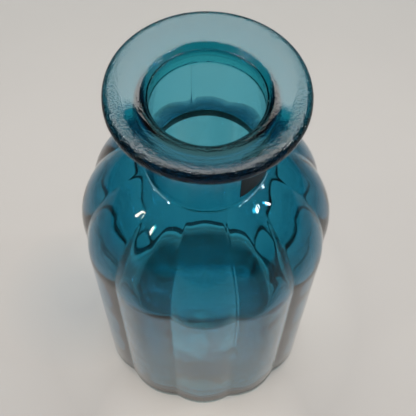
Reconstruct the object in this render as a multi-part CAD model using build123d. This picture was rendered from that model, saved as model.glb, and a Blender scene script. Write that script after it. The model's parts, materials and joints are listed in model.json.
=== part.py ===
from build123d import *
import math
import os

# A blue glass bud vase: a bottle with a wide rolled lip, a short straight neck and a body
# of twelve bulging lobes, as blown in a ribbed mould. Millimetres, +Z up. The origin is
# the centre of the foot on the surface that the vase stands on, and one lobe faces -Y.

# Overall form
HEIGHT = 150.0
BODY_RADIUS = 40.8
LOBES = 12
GROOVE_SHARE = 0.038        # groove depth as a share of the radius
INNER_GROOVE_SHARE = 0.030  # the same, on the softer inner wall
WALL = 3.0

# Lip
LIP_RADIUS = 27.5
LIP_EDGE_ROUND = 2.2        # the rim is a full round of this radius
LIP_SLOPE = 15.0            # degrees that the top face falls towards the bore
LIP_UNDER_SLOPE = 12.0      # degrees that the underside falls towards the neck
LIP_BORE_ROUND = 2.6
LIP_NECK_ROUND = 3.0
LIP_SKIRT = 3.6             # length of neck made with the lip

# Neck
NECK_RADIUS = 18.3
BORE_RADIUS = 15.8
CREASE_HEIGHT = 118.0       # where the neck meets the shoulder

# Shoulder: an ellipse from the crease down to the widest point
SHOULDER_HEIGHT = 83.0
SHOULDER_CENTRE = -3.3      # its centre is past the axis, so it slopes where the neck starts
SHOULDER_STEPS = 9
GROOVE_FULL_AT = 0.6        # share of the shoulder's width where grooves reach full depth
THROAT_STEPS = 3

# Foot
FLOOR_HEIGHT = 6.0
FLOOR_ROUND = 4.0
HEEL_ROUND = 3.0
ROUND_STEPS = 5
PUSH_UP_RADIUS = 27.0
PUSH_UP_DEPTH = 2.0

# Label on the neck, right of the front
LABEL_THICKNESS = 0.2
LABEL_START = 31.0          # degrees round from the front
LABEL_ARC = 48.0
LABEL_BOTTOM = 121.6
LABEL_TOP = 138.0

PITCH = 360.0 / LOBES
FRONT = -90.0
QUARTER = math.pi / 2
UP = (0, 0, 1)
TOP_TILT = math.radians(LIP_SLOPE)
UNDER_TILT = math.radians(LIP_UNDER_SLOPE)
RIM_MIDDLE = LIP_RADIUS - LIP_EDGE_ROUND
RIM_HEIGHT = HEIGHT - LIP_EDGE_ROUND
RIM_TOP = (
    RIM_MIDDLE - LIP_EDGE_ROUND * math.sin(TOP_TILT),
    RIM_HEIGHT + LIP_EDGE_ROUND * math.cos(TOP_TILT),
)
RIM_UNDER = (
    RIM_MIDDLE + LIP_EDGE_ROUND * math.sin(UNDER_TILT),
    RIM_HEIGHT - LIP_EDGE_ROUND * math.cos(UNDER_TILT),
)
MOUTH_HEIGHT = RIM_TOP[1] - (RIM_TOP[0] - BORE_RADIUS) * math.tan(TOP_TILT)
LIP_ROOT = RIM_UNDER[1] - (RIM_UNDER[0] - NECK_RADIUS) * math.tan(UNDER_TILT)
LIP_JOINT = LIP_ROOT - LIP_SKIRT
SHOULDER_WIDTH = BODY_RADIUS - SHOULDER_CENTRE
SHOULDER_START = math.asin((NECK_RADIUS - SHOULDER_CENTRE) / SHOULDER_WIDTH)
SHOULDER_RISE = (CREASE_HEIGHT - SHOULDER_HEIGHT) / math.cos(SHOULDER_START)


def around(radius, degrees, height):
    """The point at a radius and an angle about the vase's axis, at a height."""
    angle = math.radians(degrees)
    return (radius * math.cos(angle), radius * math.sin(angle), height)


def lobed_face(crest, share, height):
    """A level face bounded by one arc for each lobe, from groove to crest to groove."""
    groove = crest * (1 - share)
    arcs = []
    for lobe in range(LOBES):
        middle = FRONT + lobe * PITCH
        start = around(groove, middle - PITCH / 2, height)
        top = around(crest, middle, height)
        end = around(groove, middle + PITCH / 2, height)
        arcs.append(ThreePointArc(start, top, end))
    return Face(Wire(arcs))


def groove_fade(radius):
    """How much of its full depth a groove has at this radius of the shoulder, 0 to 1."""
    along = (radius - NECK_RADIUS) / ((BODY_RADIUS - NECK_RADIUS) * GROOVE_FULL_AT)
    return min(1.0, max(0.0, along))


def shoulder_point(turn):
    """Radius and height of the outer shoulder, with a quarter turn at the widest point."""
    radius = SHOULDER_CENTRE + SHOULDER_WIDTH * math.sin(turn)
    height = SHOULDER_HEIGHT + SHOULDER_RISE * math.cos(turn)
    return radius, height


def inner_shoulder_point(turn):
    """The outer shoulder's point moved inwards by the wall, along the outline's normal."""
    radius, height = shoulder_point(turn)
    out = SHOULDER_RISE * math.sin(turn)
    up = SHOULDER_WIDTH * math.cos(turn)
    length = math.hypot(out, up)
    return radius - WALL * out / length, height - WALL * up / length


def shoulder_turns():
    """The turns of the shoulder's sections, from the widest point to the crease."""
    sweep = QUARTER - SHOULDER_START
    return [QUARTER - sweep * step / SHOULDER_STEPS for step in range(SHOULDER_STEPS + 1)]


def outer_shoulder():
    """The lobed solid from the widest point up to the crease, grooves fading out."""
    sections = []
    for turn in shoulder_turns():
        radius, height = shoulder_point(turn)
        sections.append(lobed_face(radius, GROOVE_SHARE * groove_fade(radius), height))
    return loft(sections)


def inner_shoulder():
    """The hollow under the shoulder, which closes in to the bore through a throat: an arc
    that leaves the shoulder along its slope and meets the bore upright."""
    sections = []
    for turn in shoulder_turns():
        radius, height = inner_shoulder_point(turn)
        fade = groove_fade(shoulder_point(turn)[0])
        sections.append(lobed_face(radius, INNER_GROOVE_SHARE * fade, height))
    slope = math.atan2(SHOULDER_WIDTH * math.cos(SHOULDER_START),
                       SHOULDER_RISE * math.sin(SHOULDER_START))
    throat = (radius - BORE_RADIUS) / (1 - math.cos(slope))
    throat_top = height + throat * math.sin(slope)
    for step in range(1, THROAT_STEPS + 1):
        turn = slope * (1 - step / THROAT_STEPS)
        radius = BORE_RADIUS + throat * (1 - math.cos(turn))
        height = throat_top - throat * math.sin(turn)
        sections.append(lobed_face(radius, 0.0, height))
    bore = extrude(lobed_face(BORE_RADIUS, 0.0, throat_top), CREASE_HEIGHT - throat_top, dir=UP)
    return loft(sections) + bore


def round_edge(crest, share, bottom, size):
    """A lobed solid whose lower edge is rounded by a quarter circle of this size."""
    sections = []
    for step in range(ROUND_STEPS + 1):
        turn = QUARTER * step / ROUND_STEPS
        radius = crest - size * (1 - math.sin(turn))
        height = bottom + size * (1 - math.cos(turn))
        sections.append(lobed_face(radius, share, height))
    return loft(sections)


def make_body():
    """The lobed wall from the floor up, with its shoulder, open at the neck and foot."""
    rise = SHOULDER_HEIGHT - FLOOR_HEIGHT
    outer = extrude(lobed_face(BODY_RADIUS, GROOVE_SHARE, FLOOR_HEIGHT), rise, dir=UP)
    inside = BODY_RADIUS - WALL
    corner = round_edge(inside, INNER_GROOVE_SHARE, FLOOR_HEIGHT, FLOOR_ROUND)
    side_bottom = FLOOR_HEIGHT + FLOOR_ROUND
    side_face = lobed_face(inside, INNER_GROOVE_SHARE, side_bottom)
    side = extrude(side_face, SHOULDER_HEIGHT - side_bottom, dir=UP)
    return (outer + outer_shoulder()) - (corner + side + inner_shoulder())


def make_base():
    """The foot plate: a rounded heel and a domed push-up, up to the level of the floor."""
    heel = round_edge(BODY_RADIUS, GROOVE_SHARE, 0.0, HEEL_ROUND)
    rise = FLOOR_HEIGHT - HEEL_ROUND
    side = extrude(lobed_face(BODY_RADIUS, GROOVE_SHARE, HEEL_ROUND), rise, dir=UP)
    dome_radius = (PUSH_UP_RADIUS ** 2 + PUSH_UP_DEPTH ** 2) / (2 * PUSH_UP_DEPTH)
    dome = Pos(0, 0, PUSH_UP_DEPTH - dome_radius) * Sphere(dome_radius)
    return (heel + side) - dome


def make_neck():
    """The plain tube between the shoulder's crease and the lip."""
    tube = Cylinder(NECK_RADIUS, LIP_JOINT - CREASE_HEIGHT)
    bore = Cylinder(BORE_RADIUS, LIP_JOINT - CREASE_HEIGHT)
    return Pos(0, 0, (CREASE_HEIGHT + LIP_JOINT) / 2) * (tube - bore)


def make_lip():
    """The rolled lip: a dished flange with a round rim, turned about the vase's axis."""
    joint_inside = (BORE_RADIUS, 0, LIP_JOINT)
    joint_outside = (NECK_RADIUS, 0, LIP_JOINT)
    root = (NECK_RADIUS, 0, LIP_ROOT)
    under = (RIM_UNDER[0], 0, RIM_UNDER[1])
    top = (RIM_TOP[0], 0, RIM_TOP[1])
    mouth = (BORE_RADIUS, 0, MOUTH_HEIGHT)
    outline = [
        Line(joint_inside, joint_outside),
        Line(joint_outside, root),
        Line(root, under),
        ThreePointArc(under, (LIP_RADIUS, 0, RIM_HEIGHT), top),
        Line(top, mouth),
        Line(mouth, joint_inside),
    ]
    profile = Face(Wire(outline))
    for point, size in ((root, LIP_NECK_ROUND), (mouth, LIP_BORE_ROUND)):
        corner = profile.vertices().sort_by_distance(point)[0]
        profile = profile.fillet_2d(size, [corner])
    return revolve(profile, Axis.Z)


def make_label():
    """A thin label wrapped on the neck, a sector of a ring."""
    outer = NECK_RADIUS + LABEL_THICKNESS
    corners = [
        (NECK_RADIUS, 0, LABEL_BOTTOM),
        (outer, 0, LABEL_BOTTOM),
        (outer, 0, LABEL_TOP),
        (NECK_RADIUS, 0, LABEL_TOP),
    ]
    edge = Face(Wire(Polyline(*corners, close=True).edges()))
    strip = revolve(edge, Axis.Z, LABEL_ARC)
    return Rot(0, 0, FRONT + LABEL_START) * strip


def main():
    """Make every piece and write one STEP file for each."""
    pieces = {
        "lip_flange": make_lip(),
        "neck": make_neck(),
        "ribbed_body": make_body(),
        "base": make_base(),
        "neck_label": make_label(),
    }
    os.makedirs("parts", exist_ok=True)
    for name, piece in pieces.items():
        export_step(piece, f"parts/{name}.step")
        print(name, "volume", round(piece.volume), "mm3")


main()
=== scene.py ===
import json
import math

import bpy
import numpy as np
from mathutils import Matrix, Vector


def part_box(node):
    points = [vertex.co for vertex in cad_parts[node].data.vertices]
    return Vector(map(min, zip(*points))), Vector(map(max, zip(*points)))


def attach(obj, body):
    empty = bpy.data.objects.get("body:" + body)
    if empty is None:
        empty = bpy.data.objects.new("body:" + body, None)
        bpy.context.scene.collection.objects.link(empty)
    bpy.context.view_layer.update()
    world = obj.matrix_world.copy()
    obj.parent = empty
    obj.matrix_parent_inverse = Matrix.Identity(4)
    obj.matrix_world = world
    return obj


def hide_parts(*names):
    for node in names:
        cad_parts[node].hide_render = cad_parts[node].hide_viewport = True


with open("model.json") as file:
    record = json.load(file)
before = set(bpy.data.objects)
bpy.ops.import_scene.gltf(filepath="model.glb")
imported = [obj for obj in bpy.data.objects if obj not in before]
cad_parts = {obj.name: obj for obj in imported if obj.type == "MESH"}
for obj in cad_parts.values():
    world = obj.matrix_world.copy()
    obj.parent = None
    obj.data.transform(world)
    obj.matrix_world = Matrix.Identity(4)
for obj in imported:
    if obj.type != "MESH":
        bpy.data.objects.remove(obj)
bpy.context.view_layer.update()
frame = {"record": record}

# ---------------------------------------------------------------------------
# Sizes, in metres: first what the frame gives, then what only the glass has.
# ---------------------------------------------------------------------------
MM = 0.001


def half_width(node):
    """Half of a round node's width, from its box."""
    low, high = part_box(node)
    return (high[0] - low[0]) / 2


def bore_radius():
    """The radius that the record gives the neck's bore."""
    mounts = {mount["name"]: mount for mount in frame["record"]["mounts"]}
    return mounts["neck_bore"]["dims"]["r_mm"] * MM


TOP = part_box("lip_flange")[1][2]
LIP_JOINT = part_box("lip_flange")[0][2]
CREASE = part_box("neck")[0][2]
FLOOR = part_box("base")[1][2]
LIP_RADIUS = half_width("lip_flange")
NECK_RADIUS = half_width("neck")
BODY_RADIUS = half_width("ribbed_body")
BORE_RADIUS = bore_radius()
LABEL_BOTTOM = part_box("neck_label")[0][2]
LABEL_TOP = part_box("neck_label")[1][2]

RIM_ROUND = 2.2 * MM
TOP_TILT = math.radians(15.0)
CROWN_TILT = math.radians(10.0)     # the top's slope where it meets the round rim
UNDER_TILT = math.radians(12.0)
MOUTH_ROUND = 2.6 * MM
BEAD_HEIGHT = 0.28 * MM
BEAD_WIDTH = 0.22 * MM
BEAD_ANGLE = 163.0          # degrees round the mouth's arc, where 180 is the bore
ROOT_ROUND = 3.0 * MM
WALL = 3.0 * MM
SHOULDER = 83.0 * MM
SHOULDER_CENTRE = -3.3 * MM
SHOULDER_WIDTH = BODY_RADIUS - SHOULDER_CENTRE
SHOULDER_START = math.asin((NECK_RADIUS - SHOULDER_CENTRE) / SHOULDER_WIDTH)
SHOULDER_RISE = (CREASE - SHOULDER) / math.cos(SHOULDER_START)
GROOVE_FULL_AT = 0.6
FLOOR_ROUND = 4.0 * MM
HEEL_ROUND = 3.0 * MM
PUSH_UP_RADIUS = 27.0 * MM
PUSH_UP_DEPTH = 2.0 * MM
RING_DEPTHS = (5.6 * MM, 8.7 * MM)   # below the top, of two fine rings inside the bore
RING_HEIGHT = 0.12 * MM
RING_WIDTH = 0.28 * MM
JOINT_GAP = 0.002 * MM      # keeps two pieces' joint faces from lying in one plane
SHARP_EDGE = math.radians(40)

LOBES = 12
FRONT = -math.pi / 2
PITCH = 2 * math.pi / LOBES
GROOVE_SHARE = 0.038
INNER_GROOVE_SHARE = 0.030
GROOVE_SOFTNESS = 0.05      # of half a lobe
INNER_SOFTNESS = 0.25

SEAM_ANGLES = (FRONT + PITCH / 2, FRONT + PITCH / 2 + math.pi)
SEAM_HEIGHT = 0.14 * MM
SEAM_WIDTH = 0.35 * MM
NECK_SEAM_INSIDE = 0.4      # of its height outside
LIP_SEAM_DEPTH = 3.6 * MM   # how far below the top the lip has seams

LABEL_START = FRONT + math.radians(31.0)
LABEL_ARC = math.radians(48.0)
LABEL_THICKNESS = 0.2 * MM
LABEL_GAP = 0.01 * MM       # of glue behind it
LABEL_CURL = 0.04 * MM      # how far its free end lifts
LABEL_CURL_SHARE = 0.06     # of its length
LABEL_GRID = (44, 40)       # rows and columns

# Slow waves in the glass: seed, and size
OUTER_WAVES = (11, 0.05 * MM)
INNER_WAVES = (12, 0.17 * MM)
NECK_WAVES = (21, 0.05 * MM)
LIP_OUT_WAVES = (31, 0.05 * MM)
LIP_UP_WAVES = (32, 0.05 * MM)
WAVES_ALONG = 12.0          # most cycles in a metre of height
LIP_WAVES_ALONG = 40.0      # the same, in a metre of radius
INNER_WAVES_AROUND = 14
LIP_WAVES_FULL_AT = 3.0 * MM    # above the lip's joint

# Rows of points along each outline, and columns in each lobe
LOBE_COLUMNS = 32
LIP_COLUMNS = 36
COLUMN_BUNCHING = 0.11
SIDE_ROWS = 34
SHOULDER_ROWS = 64
INNER_SHOULDER_ROWS = 51
THROAT_ROWS = 8
INNER_SIDE_ROWS = 38
CORNER_ROWS = 12
NECK_ROWS = 40
SKIRT_STEPS = 6
ROOT_STEPS = 14
UNDER_STEPS = 10
RIM_STEPS = 34
CROWN_STEPS = 28
MOUTH_STEPS = 48
BORE_STEPS = 46
FLOOR_ROWS = 30
EDGE_ROWS = 7
HEEL_ROWS = 12
DOME_ROWS = 26
POLE_SHARE = 0.02           # radius of the row beside a pole, of the whole


# ---------------------------------------------------------------------------
# Meshes
# ---------------------------------------------------------------------------
def make_mesh(name, points, faces, joint=None):
    """An object at the origin from points (n, 3) and faces; joint flags the faces that
    only meet the next piece of glass."""
    mesh = bpy.data.meshes.new(name)
    mesh.from_pydata(points.tolist(), [], faces)
    if joint is not None:
        flag = mesh.attributes.new("joint", "FLOAT", "FACE")
        flag.data.foreach_set("value", np.asarray(joint, np.float32))
    mesh.polygons.foreach_set("use_smooth", [True] * len(mesh.polygons))
    mesh.set_sharp_from_angle(angle=SHARP_EDGE)
    mesh.update()
    piece = bpy.data.objects.new(name, mesh)
    bpy.context.scene.collection.objects.link(piece)
    return piece


def ring_faces(rows, columns, closed):
    """Quads of a grid that wraps round in its columns and, if closed, in its rows, with
    points numbered row by row; outward when rows climb the outside."""
    row = np.arange(rows if closed else rows - 1)[:, None]
    column = np.arange(columns)[None, :]
    after = (row + 1) % rows
    beside = (column + 1) % columns
    quads = np.stack([
        row * columns + column,
        row * columns + beside,
        after * columns + beside,
        after * columns + column,
    ], axis=-1)
    return quads.reshape(-1, 4)


def turned_ring(name, angles, radii, heights, joints):
    """A closed ring: a loop of rows (radius and height for each angle) carried round the
    axis; joints lists the rows whose faces up to the next row are joint faces."""
    x = radii * np.cos(angles)
    y = radii * np.sin(angles)
    points = np.stack([x, y, heights + 0 * x], axis=-1).reshape(-1, 3)
    rows, columns = x.shape
    flags = np.zeros((rows, columns))
    flags[joints] = 1.0
    faces = ring_faces(rows, columns, closed=True)
    return make_mesh(name, points, faces.tolist(), flags.reshape(-1))


def turned_disc(name, angles, radii, heights, joints):
    """A closed disc: rows from the middle of the top, over the edge, to the middle of the
    underside, with one point on the axis at each end."""
    x = radii * np.cos(angles)
    y = radii * np.sin(angles)
    z = heights + 0 * x
    rows, columns = x.shape
    points = np.stack([x, y, z], axis=-1).reshape(-1, 3)
    poles = np.array([[0, 0, z[0].mean()], [0, 0, z[-1].mean()]])
    points = np.concatenate([points, poles])
    quads = ring_faces(rows, columns, closed=False)[:, ::-1]
    column = np.arange(columns)
    beside = (column + 1) % columns
    first = np.stack([np.full(columns, rows * columns), column, beside], axis=-1)
    last_row = (rows - 1) * columns
    last = np.stack([
        np.full(columns, rows * columns + 1), last_row + beside, last_row + column,
    ], axis=-1)
    flags = np.zeros((rows - 1, columns))
    flags[joints] = 1.0
    flags = np.concatenate([flags.reshape(-1), np.zeros(2 * columns)])
    faces = quads.tolist() + first.tolist() + last.tolist()
    return make_mesh(name, points, faces, flags)


# ---------------------------------------------------------------------------
# Outlines
# ---------------------------------------------------------------------------
def arc(centre, radius, start, end, count):
    """Points (count, 2) on a circle between two angles in degrees."""
    turn = np.radians(np.linspace(start, end, count))
    return np.stack([centre[0] + radius * np.cos(turn), centre[1] + radius * np.sin(turn)], 1)


def run(start, end, count):
    """Points between two ends, without either."""
    share = np.linspace(0, 1, count + 2)[1:-1, None]
    return np.asarray(start) * (1 - share) + np.asarray(end) * share


def crown(start, end, count):
    """The lip's top between its rim and its mouth, without either: a cubic that leaves the
    rim at the crown's slope and meets the mouth at the top's."""
    share = np.linspace(0, 1, count + 2)[1:-1, None]
    length = start[0] - end[0]
    leave = length * np.array([-1.0, -math.tan(CROWN_TILT)])
    arrive = length * np.array([-1.0, -math.tan(TOP_TILT)])
    square = share ** 2
    cube = share ** 3
    return (
        (2 * cube - 3 * square + 1) * start
        + (cube - 2 * square + share) * leave
        + (3 * square - 2 * cube) * end
        + (cube - square) * arrive
    )


def around_lobe(angle):
    """Signed angle from the nearest lobe's crest, within half a pitch."""
    return (angle - FRONT + PITCH / 2) % PITCH - PITCH / 2


def lobed(angle, crest, share, softness):
    """Radius of an outline of one circular arc for each lobe: the circle through the crest
    and both grooves, with the groove's corner eased over the softness."""
    half = PITCH / 2
    away = 1 - np.abs(around_lobe(angle)) / half
    eased = np.sqrt(away ** 2 + softness ** 2) - softness
    turn = half * (1 - eased)
    groove = crest * (1 - share)
    centre = (crest ** 2 - groove ** 2) / (2 * (crest - groove * np.cos(half)))
    return centre * np.cos(turn) + np.sqrt((crest - centre) ** 2 - (centre * np.sin(turn)) ** 2)


def seam(angle, radius):
    """Height of the two upright mould seams: a narrow bell across each."""
    total = 0
    for middle in SEAM_ANGLES:
        off = (angle - middle + math.pi) % (2 * math.pi) - math.pi
        total = total + SEAM_HEIGHT * np.exp(-(off * radius / SEAM_WIDTH) ** 2)
    return total


def waves(angle, height, seed_and_size, around=7, along=WAVES_ALONG, count=9):
    """Slow unevenness of drawn glass: a seeded sum of sines in angle and height, about
    the given size high, with fewer than around turns and up to along cycles in a metre."""
    seed, size = seed_and_size
    random = np.random.default_rng(seed)
    total = 0
    for _ in range(count):
        turns = random.integers(1, around)
        rise = random.uniform(-along, along)
        start = random.uniform(0, 2 * math.pi)
        total = total + np.sin(turns * angle + rise * height * 2 * math.pi + start)
    return total * size / math.sqrt(count)


def column_angles(per_lobe):
    """Angles round the axis: even steps moved by a sine, so that they are closer together
    at the grooves, where the seams are too."""
    share = (np.arange(per_lobe) + 0.5) / per_lobe - 0.5
    bunched = share + COLUMN_BUNCHING * np.sin(2 * math.pi * share)
    crests = FRONT + PITCH * np.arange(LOBES)
    return (crests[:, None] + PITCH * bunched[None, :]).reshape(1, -1)


# ---------------------------------------------------------------------------
# The glass
# ---------------------------------------------------------------------------
def shoulder_outline(turn):
    """Radius and height of the outer shoulder, an ellipse with its widest point at a
    quarter turn."""
    radius = SHOULDER_CENTRE + SHOULDER_WIDTH * np.sin(turn)
    height = SHOULDER + SHOULDER_RISE * np.cos(turn)
    return radius, height


def inner_shoulder_outline(turn):
    """The outer shoulder moved inwards by the wall along its normal."""
    radius, height = shoulder_outline(turn)
    out = SHOULDER_RISE * np.sin(turn)
    up = SHOULDER_WIDTH * np.cos(turn)
    length = np.hypot(out, up)
    return radius - WALL * out / length, height - WALL * up / length


def groove_fade(radius):
    """How much of its full depth a groove has at a radius of the shoulder: the sine of a
    quarter turn that runs from the neck to where grooves are full."""
    along = (radius - NECK_RADIUS) / ((BODY_RADIUS - NECK_RADIUS) * GROOVE_FULL_AT)
    return np.sin(math.pi / 2 * np.clip(along, 0, 1))


def make_wall():
    """The lobed wall and shoulder: up the outside, across the joint with the neck, down
    the inside and round the floor's corner to the joint with the foot."""
    angles = column_angles(LOBE_COLUMNS)
    turns = np.linspace(math.pi / 2, SHOULDER_START, SHOULDER_ROWS)
    radius, height = shoulder_outline(turns)
    straight = np.linspace(FLOOR + JOINT_GAP / 2, SHOULDER, SIDE_ROWS, endpoint=False)
    crest = np.concatenate([np.full(SIDE_ROWS, BODY_RADIUS), radius])[:, None]
    height[-1] -= JOINT_GAP
    level = np.concatenate([straight, height])[:, None]
    share = GROOVE_SHARE * groove_fade(crest)
    outer = lobed(angles, crest, share, GROOVE_SOFTNESS)
    outer = outer + seam(angles, crest) * groove_fade(crest)
    outer = outer + waves(angles, level, OUTER_WAVES) * groove_fade(crest)

    turns = np.linspace(SHOULDER_START, math.pi / 2, INNER_SHOULDER_ROWS)
    radius, height = inner_shoulder_outline(turns)
    slope = math.atan2(SHOULDER_WIDTH * math.cos(SHOULDER_START),
                       SHOULDER_RISE * math.sin(SHOULDER_START))
    throat = (radius[0] - BORE_RADIUS) / (1 - math.cos(slope))
    throat_turn = np.linspace(0, slope, THROAT_ROWS, endpoint=False)
    throat_radius = np.append(BORE_RADIUS, BORE_RADIUS + throat * (1 - np.cos(throat_turn)))
    throat_height = height[0] + throat * (math.sin(slope) - np.sin(throat_turn))
    throat_height = np.append(CREASE - JOINT_GAP, throat_height)
    corner = np.linspace(0, math.pi / 2, CORNER_ROWS)
    corner_radius = BODY_RADIUS - WALL - FLOOR_ROUND * (1 - np.cos(corner))
    corner_height = FLOOR + FLOOR_ROUND * (1 - np.sin(corner)) + JOINT_GAP / 2
    straight = np.linspace(SHOULDER, FLOOR + FLOOR_ROUND, INNER_SIDE_ROWS + 2)[1:-1]
    inner_crest = np.concatenate([
        throat_radius, radius, np.full(INNER_SIDE_ROWS, BODY_RADIUS - WALL), corner_radius,
    ])[:, None]
    inner_level = np.concatenate([throat_height, height, straight, corner_height])[:, None]
    fade = groove_fade(inner_crest + WALL)
    fade[:len(throat_radius)] = 0
    inner = lobed(angles, inner_crest, INNER_GROOVE_SHARE * fade, INNER_SOFTNESS)
    above_joint = inner_level > FLOOR + MM
    uneven = waves(angles, inner_level, INNER_WAVES, around=INNER_WAVES_AROUND)
    inner = inner + uneven * fade * above_joint

    radii = np.concatenate([outer, inner])
    heights = np.concatenate([level, inner_level])
    rows = len(radii)
    return turned_ring("lobed_wall", angles, radii, heights, [len(outer) - 1, rows - 1])


def make_neck():
    """The neck: up the outside, across to the bore, down the inside and back. Its waves
    fade to nothing at both ends."""
    angles = column_angles(LOBE_COLUMNS)
    rise = np.linspace(CREASE + JOINT_GAP / 2, LIP_JOINT - JOINT_GAP / 2, NECK_ROWS)[:, None]
    outer = NECK_RADIUS + seam(angles, NECK_RADIUS) + 0 * rise
    inside = rise[::-1]
    inner = BORE_RADIUS - NECK_SEAM_INSIDE * seam(angles, BORE_RADIUS) + 0 * inside
    ends = np.sin(math.pi * (inside - CREASE) / (LIP_JOINT - CREASE)) ** 0.5
    inner = inner + waves(angles, inside, NECK_WAVES) * ends
    radii = np.concatenate([outer, inner])
    heights = np.concatenate([rise, inside])
    joints = [NECK_ROWS - 1, 2 * NECK_ROWS - 1]
    return turned_ring("neck_tube", angles, radii, heights, joints)


def bead(top_angle):
    """Height of the fine bead inside the mouth, for each point of the mouth's arc: a bell
    over the distance along the arc."""
    away = np.radians(np.linspace(top_angle, 180, MOUTH_STEPS) - BEAD_ANGLE) * MOUTH_ROUND
    return BEAD_HEIGHT * np.exp(-(away / BEAD_WIDTH) ** 2)


def ringed_bore(start, end, count):
    """Points down the bore between two ends, without either, drawn in by a bell at each of
    the fine rings."""
    points = run(start, end, count)
    for depth in RING_DEPTHS:
        away = points[:, 1] - (TOP - depth)
        points[:, 0] -= RING_HEIGHT * np.exp(-(away / RING_WIDTH) ** 2)
    return points


def lip_outline():
    """The lip's outline as radius and height: up the neck's outside, out along the
    underside, round the rim, in along the dished top and over the mouth into the bore."""
    rim = (LIP_RADIUS - RIM_ROUND, TOP - RIM_ROUND)
    under = (
        rim[0] + RIM_ROUND * math.sin(UNDER_TILT),
        rim[1] - RIM_ROUND * math.cos(UNDER_TILT),
    )
    top = (
        rim[0] - RIM_ROUND * math.sin(TOP_TILT),
        rim[1] + RIM_ROUND * math.cos(TOP_TILT),
    )
    root = under[1] - (under[0] - NECK_RADIUS) * math.tan(UNDER_TILT)
    mouth = top[1] - (top[0] - BORE_RADIUS) * math.tan(TOP_TILT)
    root_centre = (
        NECK_RADIUS + ROOT_ROUND,
        root - ROOT_ROUND * (1 / math.cos(UNDER_TILT) - math.tan(UNDER_TILT)),
    )
    mouth_centre = (
        BORE_RADIUS + MOUTH_ROUND,
        mouth - MOUTH_ROUND * (1 / math.cos(TOP_TILT) - math.tan(TOP_TILT)),
    )
    under_angle = -90 + math.degrees(UNDER_TILT)
    crown_angle = 90 + math.degrees(CROWN_TILT)
    top_angle = 90 + math.degrees(TOP_TILT)
    root_end = 90 + math.degrees(UNDER_TILT)
    root_arc = arc(root_centre, ROOT_ROUND, 180, root_end, ROOT_STEPS)
    rim_arc = arc(rim, RIM_ROUND, under_angle, crown_angle, RIM_STEPS)
    mouth_round = MOUTH_ROUND + bead(top_angle)
    mouth_arc = arc(mouth_centre, mouth_round, top_angle, 180, MOUTH_STEPS)
    start = (NECK_RADIUS, LIP_JOINT + JOINT_GAP / 2)
    end = (BORE_RADIUS, LIP_JOINT + JOINT_GAP / 2)
    parts = [
        [start], run(start, root_arc[0], SKIRT_STEPS), root_arc,
        run(root_arc[-1], rim_arc[0], UNDER_STEPS), rim_arc,
        crown(rim_arc[-1], mouth_arc[0], CROWN_STEPS), mouth_arc,
        ringed_bore(mouth_arc[-1], end, BORE_STEPS), [end],
    ]
    return np.concatenate(parts)


def make_lip():
    """The lip, its outline turned round the axis, with the unevenness of fire-polishing."""
    angles = column_angles(LIP_COLUMNS)
    outline = lip_outline()
    radius = outline[:, :1]
    height = outline[:, 1:]
    out = np.clip((radius - NECK_RADIUS) / (LIP_RADIUS - NECK_RADIUS), 0, 1)
    away = np.clip((height - LIP_JOINT) / LIP_WAVES_FULL_AT, 0, 1)
    upper = height > TOP - LIP_SEAM_DEPTH
    radii = radius + waves(angles, radius, LIP_OUT_WAVES, along=LIP_WAVES_ALONG) * away
    heights = height + waves(angles, radius, LIP_UP_WAVES, along=LIP_WAVES_ALONG) * out
    heights = heights + seam(angles, radius) * upper * out
    rows = len(outline)
    return turned_ring("rolled_lip", angles, radii, heights, [rows - 1])


def make_foot():
    """The foot plate: the floor, the joint under the wall, the heel, the resting ring and
    the push-up dome."""
    angles = column_angles(LOBE_COLUMNS)
    inside = BODY_RADIUS - WALL - FLOOR_ROUND
    floor = np.linspace(POLE_SHARE, 1, FLOOR_ROWS) * inside
    heel = np.linspace(0, math.pi / 2, HEEL_ROWS)
    heel_radius = BODY_RADIUS - HEEL_ROUND * (1 - np.cos(heel))
    heel_height = HEEL_ROUND * (1 - np.sin(heel))
    dome = np.linspace(1, POLE_SHARE, DOME_ROWS) * PUSH_UP_RADIUS
    dome_height = PUSH_UP_DEPTH * (1 - (dome / PUSH_UP_RADIUS) ** 2)
    edge = FLOOR - JOINT_GAP / 2
    side = np.linspace(edge, HEEL_ROUND, EDGE_ROWS, endpoint=False)
    side_radius = np.full(EDGE_ROWS, BODY_RADIUS)
    crest = np.concatenate([floor, side_radius, heel_radius, dome])[:, None]
    level = np.concatenate([np.full(FLOOR_ROWS, edge), side, heel_height, dome_height])
    share = np.concatenate([
        INNER_GROOVE_SHARE * (floor / inside) ** 4,
        np.full(EDGE_ROWS + HEEL_ROWS, GROOVE_SHARE),
        np.zeros(DOME_ROWS),
    ])[:, None]
    softness = np.concatenate([
        np.full(FLOOR_ROWS, INNER_SOFTNESS),
        np.full(EDGE_ROWS + HEEL_ROWS + DOME_ROWS, GROOVE_SOFTNESS),
    ])[:, None]
    radii = lobed(angles, crest, share, softness)
    return turned_disc("foot_plate", angles, radii, level[:, None], [FLOOR_ROWS - 1])


# ---------------------------------------------------------------------------
# Materials
# ---------------------------------------------------------------------------
class Flow:
    """A shader socket that can be used in sums: each operator adds its Math node."""

    def __init__(self, shader, socket):
        self.shader = shader
        self.socket = socket

    def maths(self, operation, *values):
        node = self.shader.node("ShaderNodeMath", {"operation": operation}, values)
        return Flow(self.shader, node.outputs[0])

    def __add__(self, other):
        return self.maths("ADD", self, other)

    def __radd__(self, other):
        return self.maths("ADD", other, self)

    def __rsub__(self, other):
        return self.maths("SUBTRACT", other, self)

    def __mul__(self, other):
        return self.maths("MULTIPLY", self, other)

    def __rmul__(self, other):
        return self.maths("MULTIPLY", other, self)

    def between(self, low, high):
        """0 at low, 1 at high, straight between and held beyond."""
        values = {"Value": self, "From Min": low, "From Max": high}
        node = self.shader.node("ShaderNodeMapRange", {"clamp": True}, values)
        return Flow(self.shader, node.outputs[0])


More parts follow.
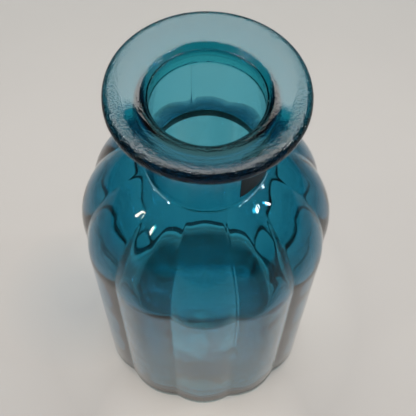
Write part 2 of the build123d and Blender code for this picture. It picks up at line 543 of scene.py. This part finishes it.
class Shader:
    """The node tree of a material or a world, filled by one method."""

    def __init__(self, owner, output="ShaderNodeOutputMaterial"):
        self.owner = owner
        self.owner.use_nodes = True
        self.tree = self.owner.node_tree
        self.tree.nodes.clear()
        self.output = self.node(output)

    def node(self, kind, settings=None, values=None):
        """Adds a node: its settings are set first, then its inputs by name or number."""
        node = self.tree.nodes.new(kind)
        for key, value in (settings or {}).items():
            setattr(node, key, value)
        pairs = values.items() if isinstance(values, dict) else enumerate(values or ())
        for key, value in pairs:
            if isinstance(value, Flow):
                self.tree.links.new(value.socket, node.inputs[key])
            else:
                node.inputs[key].default_value = value
        return node

    def flow(self, kind, output, settings=None, values=None):
        return Flow(self, self.node(kind, settings, values).outputs[output])

    def place(self):
        return self.flow("ShaderNodeTexCoord", "Object")

    def distance(self, place, point):
        """How far a place is from a point."""
        values = [place, point]
        return self.flow("ShaderNodeVectorMath", "Value", {"operation": "DISTANCE"}, values)

    def noise(self, place, scale, detail, roughness=0.5):
        values = {"Vector": place, "Scale": scale, "Detail": detail, "Roughness": roughness}
        return self.flow("ShaderNodeTexNoise", "Fac", None, values)

    def mix(self, share, first, second):
        """A colour between two colours."""
        values = {0: share, 6: first, 7: second}
        return self.flow("ShaderNodeMix", 2, {"data_type": "RGBA"}, values)

    def finish(self, surface, volume=None):
        self.tree.links.new(surface.socket, self.output.inputs["Surface"])
        if volume is not None:
            self.tree.links.new(volume.socket, self.output.inputs["Volume"])
        return self.owner


def new_shader(name):
    """The shader of a new material."""
    return Shader(bpy.data.materials.new(name))


def normal(shader, height, distance=1.0):
    """A bumped normal for a height in metres, or for a share of the distance."""
    values = {"Strength": 1.0, "Distance": distance, "Height": height}
    return shader.flow("ShaderNodeBump", "Normal", None, values)


GLASS_COLOUR = (0.0, 0.70, 0.80, 1.0)
LIP_COLOUR = (0.0, 0.735, 0.79, 1.0)
GLASS_TINT = (0.93, 0.985, 1.0, 1.0)
GLASS_STREAK = (0.88, 0.97, 1.0, 1.0)
GLASS_INDEX = 1.51
GLASS_ROUGHNESS = 0.015
SMUDGE_ROUGHNESS = 0.03     # added where the glass is smudged
COAT_INDEX = 1.6
RIPPLE_SCALE = 45.0
STREAK_SCALE = 60.0
SMUDGE_SCALE = 120.0

# Distances from the axis between which pebbles grow: outwards to the lip's rim, and more
# faintly inwards to its mouth
PEBBLED_RIM = (22.2 * MM, 25.2 * MM)
PEBBLED_MOUTH = (19.0 * MM, 17.8 * MM)
MOUTH_PEBBLES = 0.35        # of their growth at the rim
LEAST_PEBBLES = 0.08        # of their full height, where they haven't grown


def glass(name, colour, density, ripple, pebble, pebble_scale=500.0, frost=0.0, coat=0.0):
    """Clear blue glass: absorption inside, a glossy surface with slow ripples and fine
    pebbles (heights in metres), faint streaks in its tint, and joint faces that are left
    out. Pebbles, and the frost that is added to the roughness, follow one mask over the
    distance from the axis. Coat is the weight of a clear coat over the glass."""
    shader = new_shader(name)
    place = shader.place()
    level = shader.flow("ShaderNodeVectorMath", "Vector", {"operation": "MULTIPLY"},
                        [place, (1, 1, 0)])
    out = shader.distance(level, (0, 0, 0))
    worn = out.between(*PEBBLED_RIM) + MOUTH_PEBBLES * out.between(*PEBBLED_MOUTH)
    pebbles = shader.noise(place, pebble_scale, detail=0.6, roughness=0.4)
    ripples = shader.noise(place, RIPPLE_SCALE, detail=1.0)
    share = LEAST_PEBBLES + (1 - LEAST_PEBBLES) * worn
    height = pebbles * pebble * share + ripples * ripple
    streaks = shader.noise(place, STREAK_SCALE, detail=3.0).between(0.4, 0.7)
    smudges = shader.noise(place, SMUDGE_SCALE, detail=4.0, roughness=0.7).between(0.45, 0.8)
    joint = shader.flow("ShaderNodeAttribute", "Fac", {"attribute_name": "joint"})
    surface = shader.flow("ShaderNodeBsdfPrincipled", "BSDF", None, {
        "Base Color": shader.mix(streaks, GLASS_TINT, GLASS_STREAK),
        "Roughness": GLASS_ROUGHNESS + frost * worn + SMUDGE_ROUGHNESS * smudges,
        "IOR": GLASS_INDEX,
        "Transmission Weight": 1.0,
        "Coat Weight": coat,
        "Coat IOR": COAT_INDEX,
        "Normal": normal(shader, height),
        "Alpha": 1 - joint,
    })
    volume = shader.flow("ShaderNodeVolumeAbsorption", "Volume", None,
                         {"Color": colour, "Density": density})
    return shader.finish(surface, volume)


FILM_DARK = (0.014, 0.026, 0.032, 1)
FILM_LIGHT = (0.03, 0.045, 0.05, 1)
FILM_WEAR = (0.28, 0.3, 0.3, 1)
FILM_GRAIN = 0.03 * MM
GRAIN_SCALE = 1500.0
WEAR_SCALE = 420.0
WEAR_SHARE = 0.5            # of its colour, where the film is worn


def label_film():
    """Dark grey film: matt, with fine grain and sparse pale wear."""
    shader = new_shader("label_film")
    place = shader.place()
    grain = shader.noise(place, GRAIN_SCALE, detail=3.0, roughness=0.7)
    wear = shader.noise(place, WEAR_SCALE, detail=4.0, roughness=0.75).between(0.62, 0.72)
    dark = shader.mix(grain, FILM_DARK, FILM_LIGHT)
    surface = shader.flow("ShaderNodeBsdfPrincipled", "BSDF", None, {
        "Base Color": shader.mix(wear * WEAR_SHARE, dark, FILM_WEAR),
        "Roughness": 0.42 + 0.15 * grain,
        "Normal": normal(shader, grain, FILM_GRAIN),
    })
    return shader.finish(surface)


def make_label():
    """The label: a strip wrapped on the neck, a closed shell of its film's thickness. Its
    free end lifts by half a bell."""
    rows, columns = LABEL_GRID
    across = np.linspace(0, 1, columns)[None, :]
    up = np.linspace(0, 1, rows)[:, None]
    angle = LABEL_START + LABEL_ARC * across + 0 * up
    height = LABEL_BOTTOM + (LABEL_TOP - LABEL_BOTTOM) * up + 0 * across
    lift = LABEL_CURL * np.exp(-((1 - across) / LABEL_CURL_SHARE) ** 2)
    back = NECK_RADIUS + LABEL_GAP + 0 * angle
    front = NECK_RADIUS + LABEL_THICKNESS + lift + 0 * angle
    sides = []
    for radius in (back, front):
        sides.append(np.stack([radius * np.cos(angle), radius * np.sin(angle), height], -1))
    points = np.concatenate([side.reshape(-1, 3) for side in sides])
    size = rows * columns
    index = np.arange(size).reshape(rows, columns)
    quads = np.stack([index[:-1, :-1], index[:-1, 1:], index[1:, 1:], index[1:, :-1]], -1)
    quads = quads.reshape(-1, 4)
    edge = np.concatenate([
        index[0, :-1], index[:-1, -1], index[-1, :0:-1], index[:0:-1, 0],
    ])
    after = np.roll(edge, -1)
    rim = np.stack([edge, after, after + size, edge + size], -1)
    faces = quads[:, ::-1].tolist() + (quads + size).tolist() + rim.tolist()
    return make_mesh("dark_label", points, faces)


# ---------------------------------------------------------------------------
# Assembly
# ---------------------------------------------------------------------------
def settle(piece, node, material):
    """Gives a piece its material, and puts it in its node's place."""
    piece.data.materials.append(material)
    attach(piece, "root")
    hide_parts(node)


lip_glass = glass(
    "lip_glass", LIP_COLOUR, density=1150.0, ripple=0.2 * MM,
    pebble=0.24 * MM, pebble_scale=1900.0, frost=0.004,
)
neck_glass = glass(
    "neck_glass", GLASS_COLOUR, density=620.0, ripple=0.1 * MM, pebble=0.002 * MM,
)
wall_glass = glass(
    "wall_glass", GLASS_COLOUR, density=600.0, ripple=0.3 * MM, pebble=0.002 * MM,
    frost=0.012, coat=0.33,
)
foot_glass = glass(
    "foot_glass", GLASS_COLOUR, density=110.0, ripple=0.2 * MM, pebble=0.004 * MM,
)
settle(make_lip(), "lip_flange", lip_glass)
settle(make_neck(), "neck", neck_glass)
settle(make_wall(), "ribbed_body", wall_glass)
settle(make_foot(), "base", foot_glass)
settle(make_label(), "neck_label", label_film())


# ---------------------------------------------------------------------------
# Stage, light and camera
# ---------------------------------------------------------------------------
FLOOR_HALF = 3.0

# Zones of the floor's painted light and shade. Each pair holds the distances where a zone
# starts and where it is full: from its own middle, or from the axis where it has none.
# Painted shade: far from the foot, the floor's glow and its stone colour are made dimmer
FAR_DIMMING_MIDDLE = (0, 0.07, 0)
FAR_DIMMING = (0.16, 0.30)
FRONT_EDGE = (-0.067, -0.092)       # along Y, where the far zone starts in front
# Painted light: a pool of light on the floor in front of the foot
LIGHT_POOL_MIDDLE = (0, -0.056, 0)
LIGHT_POOL = (0.044, 0.012)
# Painted shadow: a dimmer patch on the floor left of the foot
SHADOW_PATCH_MIDDLE = (-0.054, 0.006, 0)
SHADOW_PATCH = (0.034, 0.008)
# Painted light: a brighter ring on the floor round the foot
LIT_RING_OUTSIDE = (0.066, 0.042)
LIT_RING_INSIDE = (0.036, 0.041)
# Painted shade: a dimmer glow on the floor beneath the foot
SHADED_BENEATH = (0.040, 0.034)
SHADE_OUTSIDE = (0.037, 0.033)
SHADE_INSIDE = (0.014, 0.018)

CLOUD_SCALE = 9.0
STONE_DARK = (0.175, 0.172, 0.172, 1)
STONE_LIGHT = (0.21, 0.205, 0.20, 1)
# Painted shade: the stone's colour far from the foot
STONE_FAR_SHADED = (0.13, 0.127, 0.123, 1)
STONE_SHADED = (0.02, 0.02, 0.02, 1)
# The floor's painted light: its glow near and far, and in each zone
GLOW_NEAR = (0.20, 0.182, 0.167, 1)
GLOW_FAR = (0.045, 0.043, 0.041, 1)
GLOW_LIT_RING = (0.29, 0.27, 0.245, 1)
GLOW_POOL = (0.47, 0.43, 0.385, 1)
GLOW_SHADOW_PATCH = (0.125, 0.135, 0.14, 1)
GLOW_SHADED_BENEATH = (0.10, 0.095, 0.09, 1)
NO_GLOW = (0, 0, 0, 1)


def pale_stone_painted_light():
    """Pale stone, slightly glossy, that glows a little as painted light. The painted light is
    dimmer far away, where the stone is darker too as painted shade, and in a painted shadow
    patch on the left; brighter in a painted ring of light round the foot and a painted pool
    of light in front of it; dimmer beneath the foot as painted shade, and darkest in a
    painted shadow ring there."""
    shader = new_shader("pale_stone_painted_light")
    place = shader.place()
    forward = shader.flow("ShaderNodeSeparateXYZ", "Y", None, [place])
    hub = shader.distance(place, (0, 0, 0))
    cloud = shader.noise(place, CLOUD_SCALE, detail=4.0, roughness=0.6)
    edge = forward.between(*FRONT_EDGE)
    # Painted shade far from the foot
    far_dimming = 1 - (1 - shader.distance(place, FAR_DIMMING_MIDDLE).between(*FAR_DIMMING)) * (1 - edge)
    # Painted pool of light in front of the foot
    light_pool = shader.distance(place, LIGHT_POOL_MIDDLE).between(*LIGHT_POOL) * (1 - edge)
    # Painted shadow patch left of the foot
    shadow_patch = shader.distance(place, SHADOW_PATCH_MIDDLE).between(*SHADOW_PATCH)
    # Painted ring of light round the foot
    lit_ring = hub.between(*LIT_RING_OUTSIDE) * hub.between(*LIT_RING_INSIDE)
    # Painted shade beneath the foot
    shaded_beneath = hub.between(*SHADED_BENEATH)
    shade = hub.between(*SHADE_OUTSIDE) * hub.between(*SHADE_INSIDE)
    near_stone = shader.mix(cloud, STONE_DARK, STONE_LIGHT)
    stone_with_far_shade = shader.mix(far_dimming, near_stone, STONE_FAR_SHADED)
    glow = shader.mix(far_dimming, GLOW_NEAR, GLOW_FAR)
    glow = shader.mix(lit_ring, glow, GLOW_LIT_RING)
    glow = shader.mix(light_pool, glow, GLOW_POOL)
    glow = shader.mix(shadow_patch, glow, GLOW_SHADOW_PATCH)
    # The painted glow beneath the foot, black in the painted shadow ring
    under = shader.mix(shade, GLOW_SHADED_BENEATH, NO_GLOW)
    # The emission is the floor's painted light; the dark base colour in the shade ring is
    # painted shadow
    surface = shader.flow("ShaderNodeBsdfPrincipled", "BSDF", None, {
        "Base Color": shader.mix(shade, stone_with_far_shade, STONE_SHADED),
        "Roughness": 0.35,
        "Specular IOR Level": 0.4,
        "Emission Color": shader.mix(shaded_beneath, glow, under),
        "Emission Strength": 1.0,
    })
    return shader.finish(surface)


def make_floor():
    """A wide square floor at the height of the foot."""
    corners = FLOOR_HALF * np.array([[-1, -1, 0], [1, -1, 0], [1, 1, 0], [-1, 1, 0]])
    floor = make_mesh("floor", corners, [[0, 1, 2, 3]])
    floor.data.materials.append(pale_stone_painted_light())


ROOM_LOW = (0.03, 0.035, 0.04, 1)
ROOM_HIGH = (0.06, 0.065, 0.07, 1)
ROOM_RISE = (0.0, 0.9)      # shares of the way up where each of the two is reached


def make_world():
    """A dim room, a little lighter overhead than at the horizon and below it."""
    world = bpy.data.worlds.new("room")
    bpy.context.scene.world = world
    shader = Shader(world, "ShaderNodeOutputWorld")
    direction = shader.flow("ShaderNodeTexCoord", "Generated")
    rise = shader.flow("ShaderNodeSeparateXYZ", "Z", None, [direction])
    colour = shader.mix(rise.between(*ROOM_RISE), ROOM_LOW, ROOM_HIGH)
    values = {"Color": colour, "Strength": 1.0}
    shader.finish(shader.flow("ShaderNodeBackground", "Background", None, values))


WHITE = (1.0, 1.0, 1.0)
WARM_WHITE = (1.0, 0.955, 0.905)
AMBER = (1.0, 0.84, 0.64)
TEAL = (0.3, 0.9, 1.0)

# Small lamps that glint on the shoulder: name, direction from the glint middle, size,
# power and colour
GLINT_DISTANCE = 1.3
GLINT_MIDDLE = (0, 0, 0.1)
GLINTS = (
    ("left_high", (-0.51, -0.21, 0.83), (0.05, 0.08), 0.9, WHITE),
    ("left_side", (-0.69, 0.03, 0.72), (0.05, 0.08), 0.5, WHITE),
    ("left_low", (-0.80, -0.42, 0.43), (0.07, 0.16), 1.0, AMBER),
    ("right_high", (0.48, -0.26, 0.83), (0.05, 0.05), 0.5, WHITE),
    ("right_upper", (0.55, -0.12, 0.82), (0.05, 0.10), 0.9, WHITE),
    ("right_low", (0.80, -0.20, 0.56), (0.06, 0.10), 0.7, WHITE),
    ("right_side", (0.72, 0.10, 0.68), (0.05, 0.20), 1.8, WHITE),
)


def make_lamp(name, place, target, size, power, colour):
    """A rectangular softbox at a place, facing a target."""
    data = bpy.data.lights.new(name, "AREA")
    data.shape = "RECTANGLE"
    data.size = size[0]
    data.size_y = size[1]
    data.energy = power
    data.color = colour
    lamp = bpy.data.objects.new(name, data)
    lamp.location = place
    lamp.rotation_mode = "QUATERNION"
    lamp.rotation_quaternion = (Vector(target) - Vector(place)).to_track_quat("-Z", "Y")
    bpy.context.scene.collection.objects.link(lamp)


# The lens, and how far the rim's middle is seen from the middle of the view, as shares of
# the view's width
FOCAL = 1.839
RIM_ACROSS = -0.0012
RIM_UP = 0.2774
CAMERA_DISTANCE = 7.27 * LIP_RADIUS
CAMERA_ELEVATION = math.radians(51.8)
CAMERA_ROLL = math.radians(0.89)


def make_camera():
    """A camera that looks down on the mouth, with the rim's middle placed in the frame by
    turning the camera, not by shifting the lens."""
    data = bpy.data.cameras.new("camera")
    data.sensor_width = 36.0
    data.lens = FOCAL * data.sensor_width
    data.clip_start = 0.01
    camera = bpy.data.objects.new("camera", data)
    rim = Vector((0, 0, TOP - RIM_ROUND))
    back = Vector((0, -math.cos(CAMERA_ELEVATION), math.sin(CAMERA_ELEVATION)))
    camera.location = rim + back * CAMERA_DISTANCE
    right = Vector((1, 0, 0))
    towards = Matrix((right, back.cross(right), back)).transposed()
    wanted = Vector((RIM_ACROSS, RIM_UP, -FOCAL)).normalized()
    swing = Vector((0, 0, -1)).rotation_difference(wanted).to_matrix()
    roll = Matrix.Rotation(CAMERA_ROLL, 3, "Z")
    turn = towards @ roll @ swing.inverted()
    camera.matrix_world = Matrix.Translation(camera.location) @ turn.to_4x4()
    bpy.context.scene.collection.objects.link(camera)
    bpy.context.scene.camera = camera


make_floor()
make_world()
make_lamp("ceiling", (0.0, 0.6, 1.5), (0, 0.2, 0.1), (1.8, 1.4), 42.0, WARM_WHITE)
make_lamp("back_window", (0.0, 1.5, 0.75), (0, 0, 0.15), (1.6, 0.45), 4.5, TEAL)
for name, direction, size, power, colour in GLINTS:
    place = Vector(GLINT_MIDDLE) + GLINT_DISTANCE * Vector(direction)
    make_lamp(name, place, GLINT_MIDDLE, size, power, colour)
make_camera()
bpy.context.scene.view_settings.view_transform = "Standard"
